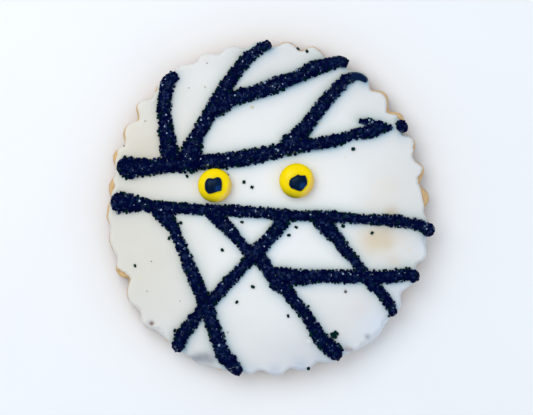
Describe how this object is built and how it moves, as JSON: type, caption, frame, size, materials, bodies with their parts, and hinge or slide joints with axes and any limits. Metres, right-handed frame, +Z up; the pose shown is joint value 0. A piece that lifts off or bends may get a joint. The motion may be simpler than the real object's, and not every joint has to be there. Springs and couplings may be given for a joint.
{
  "type": "iced sugar cookie",
  "caption": "Round fluted biscuit under white icing, crossed by raised black sugared bands, with round candy eyes; a serving prop that rests flat.",
  "frame": {"origin": "centre of the biscuit's flat base", "axes": "+Z up out of the iced face, +Y towards the top of the decoration, +X to its right"},
  "size_m": [0.0903, 0.0933, 0.0145],
  "materials": {
    "biscuit": "matte baked crumb, browned at the edge",
    "icing": "smooth set icing, soft sheen",
    "candy": "polished sugar shell",
    "black_icing": "set black icing; under sugar crystals on the bands"
  },
  "bodies": {
    "root": {"biscuit": "biscuit", "icing": "icing", "candy_left": "candy", "candy_right": "candy", "pupil_left": "black_icing", "pupil_right": "black_icing"}
  },
  "joints": []
}
